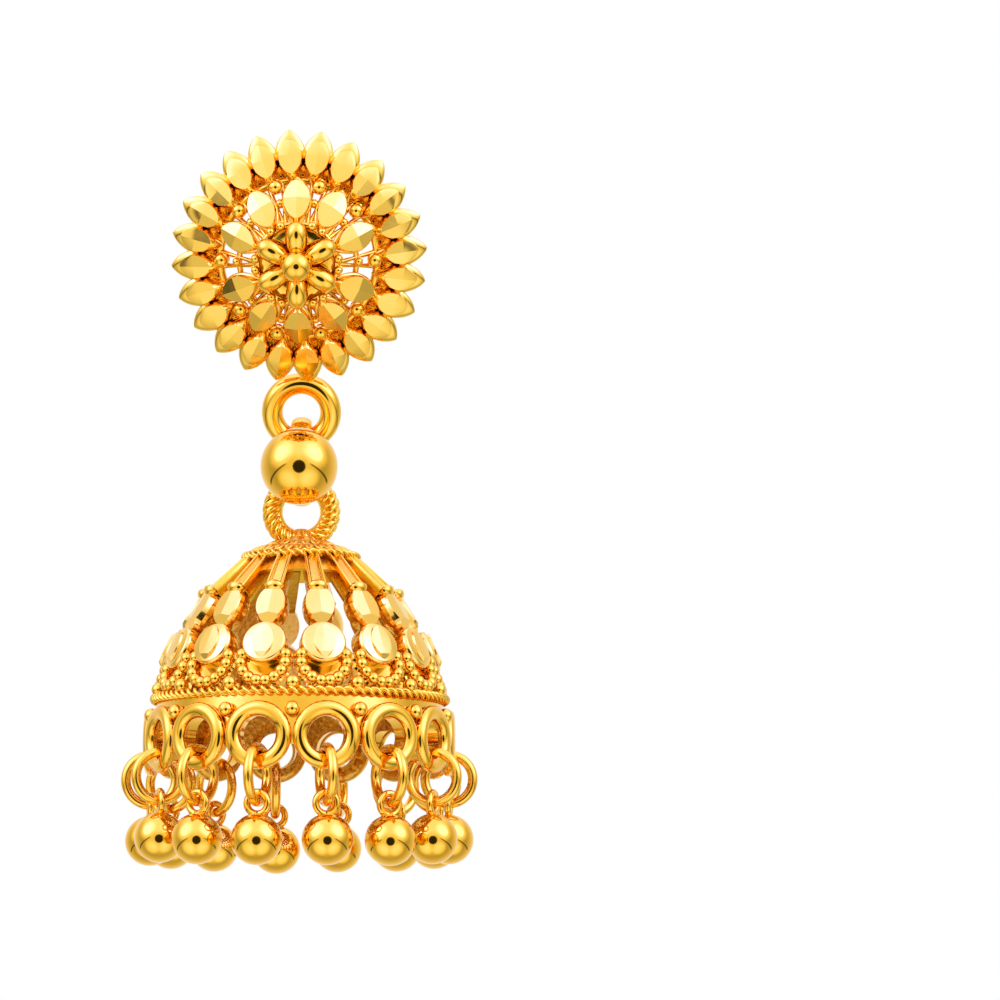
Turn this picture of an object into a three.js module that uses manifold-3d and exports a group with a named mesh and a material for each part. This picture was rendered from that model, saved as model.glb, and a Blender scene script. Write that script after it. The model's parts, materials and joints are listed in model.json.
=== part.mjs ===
// A gold jhumka earring: a leaning openwork rosette stud, a ball on a link, and a bell with bead drops.
// Millimetres, +Z up, the front faces -Y. The origin is where the post crosses the plane of the stud's back.

import * as THREE from "three";
import { mergeVertices } from "three/addons/utils/BufferGeometryUtils.js";
import Module from "manifold-3d";

const wasm = await Module();
wasm.setup();

// ---- Driving dimensions -----------------------------------------------------------------------------

const TURN = 2 * Math.PI;
const GOLD = 0xe9b64c;

// Rosette: three rows on a shallow dome, seen from the front as rings of petals and granules.
const STUD_LEAN = THREE.MathUtils.degToRad(20);      // top forward, so that the face looks a little down
const OUTER_PETALS = {
  count: 24, sides: 6, faceShare: 0.62,
  inner: 5.0, outer: 8.6, wide: 1.95, deep: 1.0, frontInner: 1.9, frontOuter: 0.9,
};
const MIDDLE_PETALS = {
  count: 10, sides: 6, faceShare: 0.62,
  inner: 2.55, outer: 5.6, wide: 1.65, deep: 0.8, frontInner: 3.9, frontOuter: 2.1,
};
const LARGE_GRANULES = { count: 10, radius: 5.15, size: 0.95, front: 1.75 };
const SMALL_GRANULES = { pairs: 6, radius: 2.8, size: 0.55, front: 3.7, spread: THREE.MathUtils.degToRad(8) };
const FLOWER = { petals: 6, radius: 1.7, width: 1.26, length: 2.3, deep: 1.2, front: 3.75 };
const FLOWER_BEAD = { size: 1.9, front: 4.15 };
const OUTER_LATTICE = { radius: 5.25, wire: 0.42, front: 1.35 };
const INNER_LATTICE = { radius: 2.6, wire: 0.42, front: 3.3 };
const STUD_RING = { middle: 1.985, wire: 0.715, drop: 10.8, back: 0.3 };

// Ear post: a round pin with a soldered foot behind the flower.
const POST = { radius: 0.45, foot: 1.5, footThick: 0.5, front: 2.35, reach: 9.5 };

// Connector: an upright oval link with a ball soldered to its front limb.
const LINK = { innerWidth: 1.8, thick: 0.8, broad: 1.4, wireGap: 0.1 };
const WIRE_SPACING = 3.0;                            // stud ring's bottom wire to the bell loop's top wire
const BALL = { radius: 2.6, forward: 3.4, down: 2.2 };

// Bell, in heights below the middle of its loop and radii from its axis. It has fourteen equal sectors.
const SECTORS = 14;
const LOOP = { middle: 1.9, wire: 0.62 };
const BOSS = { radius: 1.15, top: -1.6, bottom: -2.4 };
const CAP = { tip: 1.1, tipTop: -2.0, edge: 3.85, edgeTop: -2.95, wall: 0.6 };
const CAP_ROPE = { radius: 3.9, wire: 0.33, height: -3.1 };
const RIB = { width: 0.9, thick: 0.45, from: [3.75, -3.15], to: [6.55, -6.15] };
const COLLAR = { radius: 6.15, height: -5.6, wide: 0.62, tall: 0.36, deep: 0.4 };
const UPPER_PETAL = {
  sides: 6, faceShare: 0.62, radius: 7.0, height: -7.1, wide: 1.9, tall: 3.0, deep: 1.1, slope: 35,
};
const SETTING = {
  sides: 8, faceShare: 0.85, radius: 8.35, height: -9.5, wide: 2.9, tall: 3.0, deep: 1.2, slope: 24,
};
const FESTOON = { half: 1.6, wire: 0.34, topRadius: 8.4, bottomRadius: 9.55, top: -9.6, bottom: -12.5 };
const GRANULE = { radius: 9.6, height: -12.2, size: 1.0 };
const ROPE = { radius: 9.7, wire: 0.45, height: -12.8 };
const RIM = { inner: 9.5, outer: 9.98, top: -13.0, bottom: -16.65 };
const EYELET = { radius: 10.05, height: -15.7, outer: 4.2, hole: 2.6, deep: 1.0 };

// Drops: a jump ring in an eyelet, and a ball hung on it by a small loop.
const RING_WIRE = 0.33;
const DROP_LOOP = { middle: 0.72, wire: 0.24 };
const DROP_BALL = 1.675;
const LOOP_SINK = 0.3;                               // how deep a ball's loop is set into the ball
const SLACK = 0.07;                                  // play left where one wire hangs on another

// One row for each drop, going round from the front towards +X.
// ring is the jump ring's outer diameter, sway how many degrees the ball hangs off plumb along the rim,
// and turn how many degrees the ring is turned out of its radial plane.
const DROPS = [
  { ring: 4.2, sway: -2, turn: 4 },
  { ring: 4.2, sway: -2, turn: -6 },
  { ring: 4.0, sway: 1, turn: 8 },
  { ring: 3.9, sway: 3, turn: -5 },
  { ring: 4.1, sway: -3, turn: 7 },
  { ring: 4.2, sway: 2, turn: -8 },
  { ring: 4.2, sway: -2, turn: 5 },
  { ring: 4.3, sway: 3, turn: -7 },
  { ring: 4.2, sway: -1, turn: 6 },
  { ring: 4.1, sway: 2, turn: -4 },
  { ring: 4.0, sway: -2, turn: 8 },
  { ring: 3.9, sway: -1, turn: -6 },
  { ring: 4.1, sway: 1, turn: 5 },
  { ring: 4.2, sway: 1, turn: -4 },
];

// ---- Solids -----------------------------------------------------------------------------------------

// A closed geometry as a solid that can be joined and cut.
function solid(geometry) {
  const bare = geometry.clone();
  bare.deleteAttribute("normal");
  bare.deleteAttribute("uv");
  const welded = mergeVertices(bare, 1e-5);
  const vertProperties = new Float32Array(welded.attributes.position.array);
  const triVerts = new Uint32Array(welded.index.array);
  return new wasm.Manifold(new wasm.Mesh({ numProp: 3, vertProperties, triVerts }));
}

// Closed geometries soldered into one solid.
function solder(geometries) {
  return geometries.map(solid).reduce((whole, piece) => whole.add(piece));
}

function geometryOf(body) {
  const mesh = body.getMesh();
  const geometry = new THREE.BufferGeometry();
  geometry.setAttribute("position", new THREE.BufferAttribute(new Float32Array(mesh.vertProperties), 3));
  geometry.setIndex(new THREE.BufferAttribute(new Uint32Array(mesh.triVerts), 1));
  return geometry;
}

function named(name, body) {
  const material = new THREE.MeshStandardMaterial({ color: GOLD, roughness: 0.2, metalness: 1 });
  const geometry = body.isBufferGeometry ? body : geometryOf(body);
  geometry.computeVertexNormals();
  const mesh = new THREE.Mesh(geometry, material);
  mesh.name = name;
  return mesh;
}

// A ring of round wire about the Y axis, which stands upright and faces the front.
function uprightRing(middle, wire, around, section) {
  return new THREE.TorusGeometry(middle, wire, section, around).rotateX(Math.PI / 2);
}

// A ring of round wire about the Z axis, which lies level.
function levelRing(middle, wire, around, section) {
  return new THREE.TorusGeometry(middle, wire, section, around);
}

function grain(size) {
  return new THREE.IcosahedronGeometry(size / 2, 0);
}

// A cut oval with few sides, whose face, towards -Y, is smaller than its back by the share given.
function facetedOval({ wide, tall, deep, sides, faceShare }) {
  return new THREE.CylinderGeometry(1, faceShare, deep, sides).scale(wide / 2, 1, tall / 2);
}

// ---- Stud -------------------------------------------------------------------------------------------

// A petal of the rosette that slopes with the dome from its inner tip to its outer tip.
function rosettePetal(row, index) {
  const rise = row.frontInner - row.frontOuter;
  const run = row.outer - row.inner;
  return facetedOval({ ...row, tall: Math.hypot(rise, run) })
    .rotateX(-Math.atan2(rise, run))
    .translate(0, (row.deep - row.frontInner - row.frontOuter) / 2, (row.inner + row.outer) / 2)
    .rotateY((index / row.count) * TURN);
}

function rosetteGrain({ size, radius, front }, angle) {
  return grain(size).translate(0, -front, radius).rotateY(angle);
}

function repeat(count, make) {
  return Array.from({ length: count }, (_, index) => make(index));
}

function flowerPetal(index) {
  return new THREE.SphereGeometry(1, 6, 4)
    .scale(FLOWER.width / 2, FLOWER.deep / 2, FLOWER.length / 2)
    .translate(0, -FLOWER.front, FLOWER.radius)
    .rotateY((index / FLOWER.petals) * TURN);
}

function makeStud() {
  const largeStep = TURN / LARGE_GRANULES.count;
  const pairStep = TURN / SMALL_GRANULES.pairs;
  return solder([
    ...repeat(OUTER_PETALS.count, (index) => rosettePetal(OUTER_PETALS, index)),
    ...repeat(MIDDLE_PETALS.count, (index) => rosettePetal(MIDDLE_PETALS, index)),
    ...repeat(LARGE_GRANULES.count, (index) => rosetteGrain(LARGE_GRANULES, (index + 0.5) * largeStep)),
    ...[-1, 1].flatMap((side) => repeat(SMALL_GRANULES.pairs, (index) =>
      rosetteGrain(SMALL_GRANULES, (index + 0.5) * pairStep + side * SMALL_GRANULES.spread))),
    ...repeat(FLOWER.petals, flowerPetal),
    new THREE.SphereGeometry(FLOWER_BEAD.size / 2, 10, 6).translate(0, -FLOWER_BEAD.front, 0),
    uprightRing(OUTER_LATTICE.radius, OUTER_LATTICE.wire, 20, 4).translate(0, -OUTER_LATTICE.front, 0),
    uprightRing(INNER_LATTICE.radius, INNER_LATTICE.wire, 20, 4).translate(0, -INNER_LATTICE.front, 0),
    uprightRing(STUD_RING.middle, STUD_RING.wire, 20, 8).translate(0, STUD_RING.back, -STUD_RING.drop),
  ]);
}

function makePost() {
  const pinLength = POST.front + POST.reach;
  const pin = new THREE.CylinderGeometry(POST.radius, POST.radius, pinLength, 16);
  const foot = new THREE.CylinderGeometry(POST.foot, POST.foot, POST.footThick, 24);
  return solder([
    pin.translate(0, pinLength / 2 - POST.front, 0),
    foot.translate(0, POST.footThick / 2 - POST.front, 0),
  ]);
}

// ---- Connector --------------------------------------------------------------------------------------

// An upright oval outline in the YZ plane, between two end centres on the Z axis.
function ovalOutline(Kind, half, upper, lower) {
  const outline = new Kind();
  outline.absarc(0, upper, half, 0, Math.PI, false);
  outline.absarc(0, lower, half, Math.PI, TURN, false);
  outline.closePath();
  return outline;
}

// The origin of the connector is the middle of the stud ring's bottom wire.
function makeConnector() {
  const innerHalf = LINK.innerWidth / 2;
  const upper = STUD_RING.wire + LINK.wireGap - innerHalf;
  const lower = -WIRE_SPACING - LOOP.wire - LINK.wireGap + innerHalf;
  const outline = ovalOutline(THREE.Shape, innerHalf + LINK.thick, upper, lower);
  outline.holes.push(ovalOutline(THREE.Path, innerHalf, upper, lower));
  const flat = { depth: LINK.broad, bevelEnabled: false, curveSegments: 10 };
  const link = new THREE.ExtrudeGeometry(outline, flat)
    .translate(0, 0, -LINK.broad / 2)
    .rotateX(Math.PI / 2)
    .rotateZ(Math.PI / 2);
  const ball = new THREE.SphereGeometry(BALL.radius, 16, 10).translate(0, -BALL.forward, -BALL.down);
  return solder([link, ball]);
}

// ---- Bell -------------------------------------------------------------------------------------------

function atSector(index, geometry) {
  return geometry.rotateZ(((index + 0.5) / SECTORS) * TURN);
}

function betweenSectors(index, geometry) {
  return geometry.rotateZ((index / SECTORS) * TURN);
}

// A straight bar from one [radius, height] to another on the front side of the bell.
function domeBar(from, to, width, thick) {
  const run = to[0] - from[0];
  const fall = from[1] - to[1];
  return new THREE.BoxGeometry(width, thick, Math.hypot(run, fall))
    .rotateX(-Math.atan2(run, fall))
    .translate(0, -(from[0] + to[0]) / 2, (from[1] + to[1]) / 2);
}

function domeOval(form) {
  return facetedOval(form)
    .rotateX(-THREE.MathUtils.degToRad(form.slope))
    .translate(0, -form.radius, form.height);
}

// The beaded swag that hangs round the bottom of a setting, as one round wire on the dome.
function festoon() {
  const stations = 6;
  const points = repeat(stations, (index) => {
    const angle = (index / (stations - 1)) * Math.PI;
    const sink = Math.sin(angle);
    const radius = THREE.MathUtils.lerp(FESTOON.topRadius, FESTOON.bottomRadius, sink);
    const height = THREE.MathUtils.lerp(FESTOON.top, FESTOON.bottom, sink);
    return new THREE.Vector3(-FESTOON.half * Math.cos(angle), -radius, height);
  });
  const section = new THREE.Shape();
  section.absarc(0, 0, FESTOON.wire, 0, TURN, false);
  const route = new THREE.CatmullRomCurve3(points);
  return new THREE.ExtrudeGeometry(section, { steps: stations - 1, extrudePath: route, curveSegments: 4 });
}

// A shape turned about the bell's axis from [radius, height] corners.
function turned(corners) {
  const profile = corners.map(([radius, height]) => new THREE.Vector2(radius, height));
  return new THREE.LatheGeometry(profile, 2 * SECTORS).rotateX(Math.PI / 2);
}

// The rim wall with its round eyelets cut through.
function makeRim() {
  const { inner, outer, top, bottom } = RIM;
  const wall = turned([[inner, bottom], [outer, bottom], [outer, top], [inner, top], [inner, bottom]]);
  const disc = (diameter, deep) => new THREE.CylinderGeometry(diameter / 2, diameter / 2, deep, 12)
    .translate(0, -EYELET.radius, 0)
    .translate(0, 0, EYELET.height);
  const rings = repeat(SECTORS, (index) => atSector(index, disc(EYELET.outer, EYELET.deep)));
  const holes = repeat(SECTORS, (index) => atSector(index, disc(EYELET.hole, 3 * EYELET.deep)));
  return solder([wall, ...rings]).subtract(solder(holes));
}

function makeCap() {
  const { tip, tipTop, edge, edgeTop, wall } = CAP;
  const profile = [
    [0, tipTop - wall], [tip, tipTop - wall], [edge - wall / 2, edgeTop - wall],
    [edge, edgeTop - wall / 2], [edge, edgeTop], [tip, tipTop], [0, tipTop],
  ];
  return turned(profile);
}

// The origin of the bell is the middle of its loop's hole.
function makeBell() {
  const boss = new THREE.CylinderGeometry(BOSS.radius, BOSS.radius, BOSS.top - BOSS.bottom, 14)
    .rotateX(Math.PI / 2)
    .translate(0, 0, (BOSS.top + BOSS.bottom) / 2);
  const sector = [
    () => domeBar(RIB.from, RIB.to, RIB.width, RIB.thick),
    () => new THREE.OctahedronGeometry(1, 0).scale(COLLAR.wide, COLLAR.deep, COLLAR.tall)
      .translate(0, -COLLAR.radius, COLLAR.height),
    () => domeOval(UPPER_PETAL),
    () => domeOval(SETTING),
    festoon,
  ];
  const granule = () => grain(GRANULE.size).translate(0, -GRANULE.radius, GRANULE.height);
  const rounds = solder([
    uprightRing(LOOP.middle, LOOP.wire, 20, 8),
    boss,
    makeCap(),
    levelRing(CAP_ROPE.radius, CAP_ROPE.wire, 28, 4).translate(0, 0, CAP_ROPE.height),
    levelRing(ROPE.radius, ROPE.wire, 28, 4).translate(0, 0, ROPE.height),
  ]);
  const sectors = solder([
    ...repeat(SECTORS, (index) => sector.map((make) => atSector(index, make()))).flat(),
    ...repeat(SECTORS, (index) => betweenSectors(index, granule())),
  ]);
  return rounds.add(sectors).add(makeRim());
}

// ---- Drops ------------------------------------------------------------------------------------------

function jumpRing(row) {
  const middle = row.ring / 2 - RING_WIRE;
  return new THREE.TorusGeometry(middle, RING_WIRE, 4, 14).rotateX(Math.PI / 2).rotateZ(Math.PI / 2);
}

// The origin of a ball drop is the middle of the jump ring's bottom wire.
function ballDrop() {
  const loopDown = DROP_LOOP.middle - DROP_LOOP.wire - RING_WIRE - SLACK;
  const ballDown = loopDown + DROP_LOOP.middle + DROP_LOOP.wire + DROP_BALL - LOOP_SINK;
  const loop = uprightRing(DROP_LOOP.middle, DROP_LOOP.wire, 9, 4).translate(0, 0, -loopDown);
  const ball = new THREE.SphereGeometry(DROP_BALL, 9, 6).rotateX(Math.PI / 2).translate(0, 0, -ballDown);
  return solder([loop, ball]);
}

// A jump ring and its ball, in a group at the eyelet's middle.
function makeDrop(row, index) {
  const label = String(index + 1).padStart(2, "0");
  const holeBottom = -EYELET.hole / 2;
  const wireHeight = holeBottom + RING_WIRE + 2 * SLACK;
  const middle = row.ring / 2 - RING_WIRE;
  const ring = named(`drop_ring_${label}`, jumpRing(row));
  ring.position.z = wireHeight - middle;
  ring.rotation.z = THREE.MathUtils.degToRad(row.turn);
  const ball = named(`drop_ball_${label}`, ballDrop());
  ball.position.z = wireHeight - 2 * middle;
  ball.rotation.set(0, THREE.MathUtils.degToRad(row.sway), THREE.MathUtils.degToRad(row.turn));
  const drop = new THREE.Group().add(ring, ball);
  drop.position.set(0, -EYELET.radius, EYELET.height);
  const sector = new THREE.Group().add(drop);
  sector.rotation.z = ((index + 0.5) / SECTORS) * TURN;
  return sector;
}

// ---- Assembly ---------------------------------------------------------------------------------------

const stud = new THREE.Group().add(named("stud", makeStud()), named("ear_post", makePost()));
stud.rotation.x = STUD_LEAN;

// Everything below the stud hangs plumb from the lowest point of the leaning ring's wire.
const hangPoint = new THREE.Vector3(0, STUD_RING.back, -STUD_RING.drop - STUD_RING.middle)
  .applyEuler(stud.rotation);

const connector = named("connector", makeConnector());
connector.position.copy(hangPoint);

const bell = new THREE.Group().add(named("bell", makeBell()), ...DROPS.map(makeDrop));
bell.position.copy(hangPoint);
bell.position.z -= WIRE_SPACING + LOOP.middle;

const earring = new THREE.Group().add(stud, connector, bell);
earring.updateMatrixWorld(true);

export default earring;
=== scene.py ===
# %% [markdown]
# # A gold jhumka earring
#
# A jhumka is a bell-shaped drop earring. This one has three bodies that swing on each other: a
# rosette stud that is pinned to the ear, a link with a polished ball, and an openwork bell with a
# fringe of bead drops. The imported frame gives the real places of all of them. These cells build
# the fine surface of each piece in that frame, in metres, and light it on a plain pale floor.

# %% Load the frame
import json
import math
from contextlib import contextmanager

import bmesh
import bpy
from mathutils import Matrix, Vector


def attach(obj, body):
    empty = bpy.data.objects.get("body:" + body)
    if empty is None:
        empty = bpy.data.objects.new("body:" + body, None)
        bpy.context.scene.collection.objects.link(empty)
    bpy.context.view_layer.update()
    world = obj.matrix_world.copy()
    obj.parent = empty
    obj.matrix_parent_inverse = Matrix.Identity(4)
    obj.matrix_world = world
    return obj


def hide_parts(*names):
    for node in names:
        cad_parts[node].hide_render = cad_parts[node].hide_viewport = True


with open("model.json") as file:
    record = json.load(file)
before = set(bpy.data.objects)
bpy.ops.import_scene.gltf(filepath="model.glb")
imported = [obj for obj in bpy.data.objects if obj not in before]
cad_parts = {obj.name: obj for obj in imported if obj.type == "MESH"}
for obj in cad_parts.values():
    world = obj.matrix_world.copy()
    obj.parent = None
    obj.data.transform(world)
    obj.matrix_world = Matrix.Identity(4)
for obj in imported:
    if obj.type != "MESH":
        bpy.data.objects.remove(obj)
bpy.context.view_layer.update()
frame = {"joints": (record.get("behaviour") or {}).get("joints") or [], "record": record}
MM = 0.001
TURN = 2 * math.pi

# %% [markdown]
# ## Where things hang
#
# The stud is modelled facing straight forward and then leaned, so its pieces share one matrix.
# The connector hangs from the bottom of the stud's ring, and the bell from the bottom of the
# connector: those two points are the joints of the frame, so they are read from it.

# %% Places of the three bodies
hinges = {joint["name"]: Vector(joint["pos_m"]) for joint in frame["joints"]}
pin = next(mount for mount in frame["record"]["mounts"] if mount["name"] == "ear_pin")
lean = math.atan2(pin["axis"][2], pin["axis"][1])
STUD = Matrix.Rotation(lean, 4, "X")
LINK = Matrix.Translation(hinges["link_swing"])
BELL = Matrix.Translation(hinges["bell_swing"])
print("lean", round(math.degrees(lean), 1), "link", LINK.translation, "bell", BELL.translation)

# %% [markdown]
# ## Helpers for modelling
#
# Operators act on everything that is selected, and the frame's nodes arrive selected, so each
# step starts from a clean selection. In edit mode, vertices are picked by where they are, which
# is what a hand does with a box select. A piece that repeats is modelled once in millimetres at
# its own middle, and copied by a list of matrices into one joined mesh.


# %% Selection and edit mode
def only(obj):
    bpy.ops.object.select_all(action="DESELECT")
    obj.select_set(True)
    bpy.context.view_layer.objects.active = obj
    return obj


@contextmanager
def editing(obj):
    only(obj)
    bpy.ops.object.mode_set(mode="EDIT")
    bpy.ops.mesh.select_all(action="DESELECT")
    yield
    bpy.ops.object.mode_set(mode="OBJECT")


def pick(obj, test):
    """Selects the vertices whose place passes the test, and what lies between them."""
    mesh = bmesh.from_edit_mesh(obj.data)
    for vertex in mesh.verts:
        vertex.select_set(bool(test(vertex.co)))
    mesh.select_flush(True)
    bmesh.update_edit_mesh(obj.data)


def started(name):
    """The primitive that was just added, named, as the only thing selected."""
    obj = bpy.context.active_object
    obj.name = name
    return only(obj)


def modified(obj, kind, **settings):
    only(obj)
    modifier = obj.modifiers.new(kind.title(), kind)
    for key, value in settings.items():
        setattr(modifier, key, value)
    bpy.ops.object.modifier_apply(modifier=modifier.name)
    return obj


def soften(obj, width, segments=2, angle=25):
    """Rounds the sharp edges, which then catch a thin line of light as polished metal does."""
    return modified(obj, "BEVEL", width=width, segments=segments, limit_method="ANGLE",
                    angle_limit=math.radians(angle), harden_normals=False)


def smooth(obj, angle=35):
    only(obj)
    bpy.ops.object.shade_smooth_by_angle(angle=math.radians(angle))
    return obj


def faceted(obj, width=0.045):
    """Bevels the cuts and keeps each facet flat to its border, so that it reflects like a mirror."""
    soften(obj, width, 3, 7)
    smooth(obj, 60)
    return modified(obj, "WEIGHTED_NORMAL", mode="FACE_AREA", weight=100, keep_sharp=True)


# %% Cutting, turning and copying
def cut(obj, point, normal):
    """Slices off what lies beyond a plane, and closes the cut with a flat facet."""
    with editing(obj):
        bpy.ops.mesh.select_all(action="SELECT")
        bpy.ops.mesh.bisect(plane_co=point, plane_no=normal, use_fill=True, clear_outer=True)


def moved(obj, matrix):
    obj.data.transform(matrix)
    return obj


def copy_of(obj, matrix, name):
    twin = obj.copy()
    twin.data = obj.data.copy()
    twin.name = name
    bpy.context.scene.collection.objects.link(twin)
    return moved(twin, matrix)


def joined(name, parts):
    bpy.ops.object.select_all(action="DESELECT")
    for part in parts:
        part.select_set(True)
    bpy.context.view_layer.objects.active = parts[0]
    if len(parts) > 1:
        bpy.ops.object.join()
    obj = bpy.context.active_object
    obj.name = name
    obj.data.name = name
    return obj


def spread(name, template, matrices):
    """One joined mesh with a copy of the template at each matrix. The template is used up."""
    parts = [copy_of(template, matrix, f"{name}_copy") for matrix in matrices]
    bpy.data.objects.remove(template)
    return joined(name, parts)


def scaled(x, y, z):
    return Matrix.Diagonal((x, y, z, 1))


def around(count, start=0.0):
    return [start + TURN * index / count for index in range(count)]


def on_stud(radius, front, angle, slope=0.0):
    """A place on the rosette: the piece's own up points outward, and its front leans with the dome."""
    return (STUD @ Matrix.Rotation(angle, 4, "Y") @ Matrix.Translation((0, -front * MM, radius * MM))
            @ Matrix.Rotation(-slope, 4, "X") @ Matrix.Scale(MM, 4))


def on_bell(radius, height, angle, slope=0.0):
    """A place on the bell: radius from its axis, height from the middle of its loop."""
    return (BELL @ Matrix.Rotation(angle, 4, "Z") @ Matrix.Translation((0, -radius * MM, height * MM))
            @ Matrix.Rotation(-math.radians(slope), 4, "X") @ Matrix.Scale(MM, 4))


print("helpers ready")

# %% [markdown]
# ## Finishes
#
# Everything is one yellow gold, but a goldsmith leaves it in different finishes: mirror polish on
# balls and wires, bright cuts on the petals' faces, and a chased, slightly matt ground on the cap
# and inside the bell. A small class writes the shader maths as expressions. What varies feeds
# only the base colour, the roughness and the bump.


# %% Shader expressions
class Value:
    """A number in a material, held as a socket, on which expressions can be written."""

    def __init__(self, tree, socket):
        self.tree = tree
        self.socket = socket

    def maths(self, operation, first, second):
        node = self.tree.nodes.new("ShaderNodeMath")
        node.operation = operation
        for place, item in zip(node.inputs, (first, second)):
            if isinstance(item, Value):
                self.tree.links.new(item.socket, place)
            else:
                place.default_value = item
        return Value(self.tree, node.outputs[0])

    def __add__(self, other):
        return self.maths("ADD", self, other)

    def __rsub__(self, other):
        return self.maths("SUBTRACT", other, self)

    def __mul__(self, other):
        return self.maths("MULTIPLY", self, other)

    __radd__ = __add__


class Finish:
    """One material: its nodes, and the shader that they feed."""

    def __init__(self, name):
        self.material = bpy.data.materials.new(name)
        self.material.use_nodes = True
        self.tree = self.material.node_tree
        self.shader = self.tree.nodes["Principled BSDF"]

    def node(self, kind, settings=None, output=0, **sockets):
        node = self.tree.nodes.new(kind)
        for key, value in (settings or {}).items():
            setattr(node, key, value)
        for key, value in sockets.items():
            self.feed(node.inputs[key.replace("_", " ")], value)
        return Value(self.tree, node.outputs[output])

    def blend_colours(self, share, first, second):
        mixed = self.node("ShaderNodeMix", {"data_type": "RGBA"}, output=2)
        mix = mixed.socket.node
        self.feed(mix.inputs[0], share)
        for place, colour in zip(mix.inputs[6:8], (first, second)):
            self.feed(place, colour if isinstance(colour, Value) else (*colour, 1))
        return mixed

    def vector(self, operation, *vectors, output=0):
        value = self.node("ShaderNodeVectorMath", {"operation": operation}, output=output)
        for place, vector in zip(value.socket.node.inputs, vectors):
            self.feed(place, vector)
        return value

    def smooth_step(self, value, low, high):
        step = self.node("ShaderNodeMapRange", {"interpolation_type": "SMOOTHSTEP"}, Value=value)
        self.feed(step.socket.node.inputs[1], low)
        self.feed(step.socket.node.inputs[2], high)
        return step

    def inner_walls(self, place):
        """1 where a surface faces the bell's axis, and 0 where it faces outward."""
        facing = self.node("ShaderNodeTexCoord", output=1)
        outward = self.vector("MULTIPLY", self.vector("SUBTRACT", place, BELL.translation), (1, 1, 0))
        turned = self.vector("DOT_PRODUCT", self.vector("NORMALIZE", outward), facing, output=1)
        return 1 - self.smooth_step(turned, -0.5, -0.2)

    def feed(self, place, value):
        if isinstance(value, Value):
            self.tree.links.new(value.socket, place)
        else:
            place.default_value = value

    def set(self, socket, value):
        self.feed(self.shader.inputs[socket], value)


# %% [markdown]
# Gold is a metal, so its colour is the colour of its reflection. Each finish mixes two golds by a
# slow noise, as real castings have slightly redder and yellower patches, wears the roughness a
# little, and gives the surface a fine ripple or a chased ground through the bump. On the bell, the
# walls that face its axis are chased, and their colour is darkened towards a dark brown as painted
# shade.


# %% Gold finishes
# SHADE is the dark brown of the painted shade on the bell's inner walls.
PALE, DEEP, SHADE = (0.97, 0.575, 0.065), (0.91, 0.465, 0.028), (0.50, 0.22, 0.02)
PATCH_MM, CHASING_MM, BUMP_MM = 2.5, 0.35, 0.05


def gold(name, pale, deep, roughness, wear, ripple, ripple_size, ground=0.0, inside=0.0):
    """Ripple and ground are the bump's strengths; inside is the ground's on inner walls and paints shade
    there.
    """
    finish = Finish(name)
    place = finish.node("ShaderNodeTexCoord", output=3)
    share = finish.node("ShaderNodeTexNoise", Vector=place, Scale=1 / (PATCH_MM * MM), Detail=3.0)
    fine = finish.node("ShaderNodeTexNoise", Vector=place, Scale=1 / (ripple_size * MM), Detail=4.0)
    height = fine * ripple
    rough = roughness + fine * wear
    if ground or inside:
        matt_and_shade = ground
        if inside:
            matt_and_shade = finish.inner_walls(place) * inside
        chased = finish.node("ShaderNodeTexVoronoi", {"feature": "SMOOTH_F1"}, Vector=place,
                             Scale=1 / (CHASING_MM * MM), Smoothness=0.6)
        height = height + chased * matt_and_shade
        rough = rough + matt_and_shade * 0.22
    finish.set("Metallic", 1.0)
    colour = finish.blend_colours(share, deep, pale)
    # Painted shade: the walls that face the bell's axis are darkened towards the brown SHADE.
    if inside:
        colour = finish.blend_colours(matt_and_shade * 0.65, colour, SHADE)
    finish.set("Base Color", colour)
    finish.set("Roughness", rough)
    bump = finish.node("ShaderNodeBump", Strength=1.0, Distance=BUMP_MM * MM, Height=height)
    finish.set("Normal", bump)
    return finish.material


polished = gold("gold_polished", PALE, DEEP, 0.06, 0.05, 0.03, 1.2)
bell_polished = gold("gold_bell_polished", PALE, DEEP, 0.07, 0.06, 0.05, 0.9, inside=0.9)
bright_cut = gold("gold_bright_cut", (0.98, 0.63, 0.14), (0.96, 0.56, 0.08), 0.10, 0.08, 0.04, 0.6,
                  inside=0.9)
petal_gold = gold("gold_petal", (0.98, 0.64, 0.12), (0.96, 0.57, 0.06), 0.08, 0.07, 0.04, 0.7)
wire_gold = gold("gold_wire", PALE, DEEP, 0.10, 0.08, 0.08, 0.5)
rope_gold = gold("gold_rope", (0.97, 0.62, 0.06), (0.93, 0.51, 0.03), 0.18, 0.08, 0.05, 0.4)
chased_gold = gold("gold_chased", (0.95, 0.60, 0.06), (0.88, 0.47, 0.02), 0.2, 0.10, 0.08, 0.3, 0.2)
rib_gold = gold("gold_ribs", (0.97, 0.62, 0.06), (0.90, 0.50, 0.02), 0.14, 0.10, 0.16, 0.35, inside=0.9)
post_gold = gold("gold_post", (0.94, 0.57, 0.10), DEEP, 0.22, 0.10, 0.10, 0.4)
print("finishes:", [material.name for material in bpy.data.materials])


# %% [markdown]
# Every finished piece is joined to its body, stands for its frame node and gets its material. One
# function does that, and prints what it was given.


# %% Placing a piece on its body
def hand_in(obj, body, slot, material, *nodes):
    obj.data.materials.clear()
    obj.data.materials.append(material)
    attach(obj, body)
    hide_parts(*nodes)
    print(f"{obj.name}: {len(obj.data.polygons)} faces on {body}")


# %% [markdown]
# ## Petals
#
# The rosette's petals are little boats of gold with a cut face standing on each. Body and face both
# begin as a sphere whose rings are drawn in to the outline of a petal, pointed at its ends and
# widest just past its middle. The body stays round. The face is sliced at the front by four planes
# that rise to one point, as a diamond tool leaves them, and it is sliced flat at the back. Beveling
# the cuts gives each facet its thin bright border.


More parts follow.
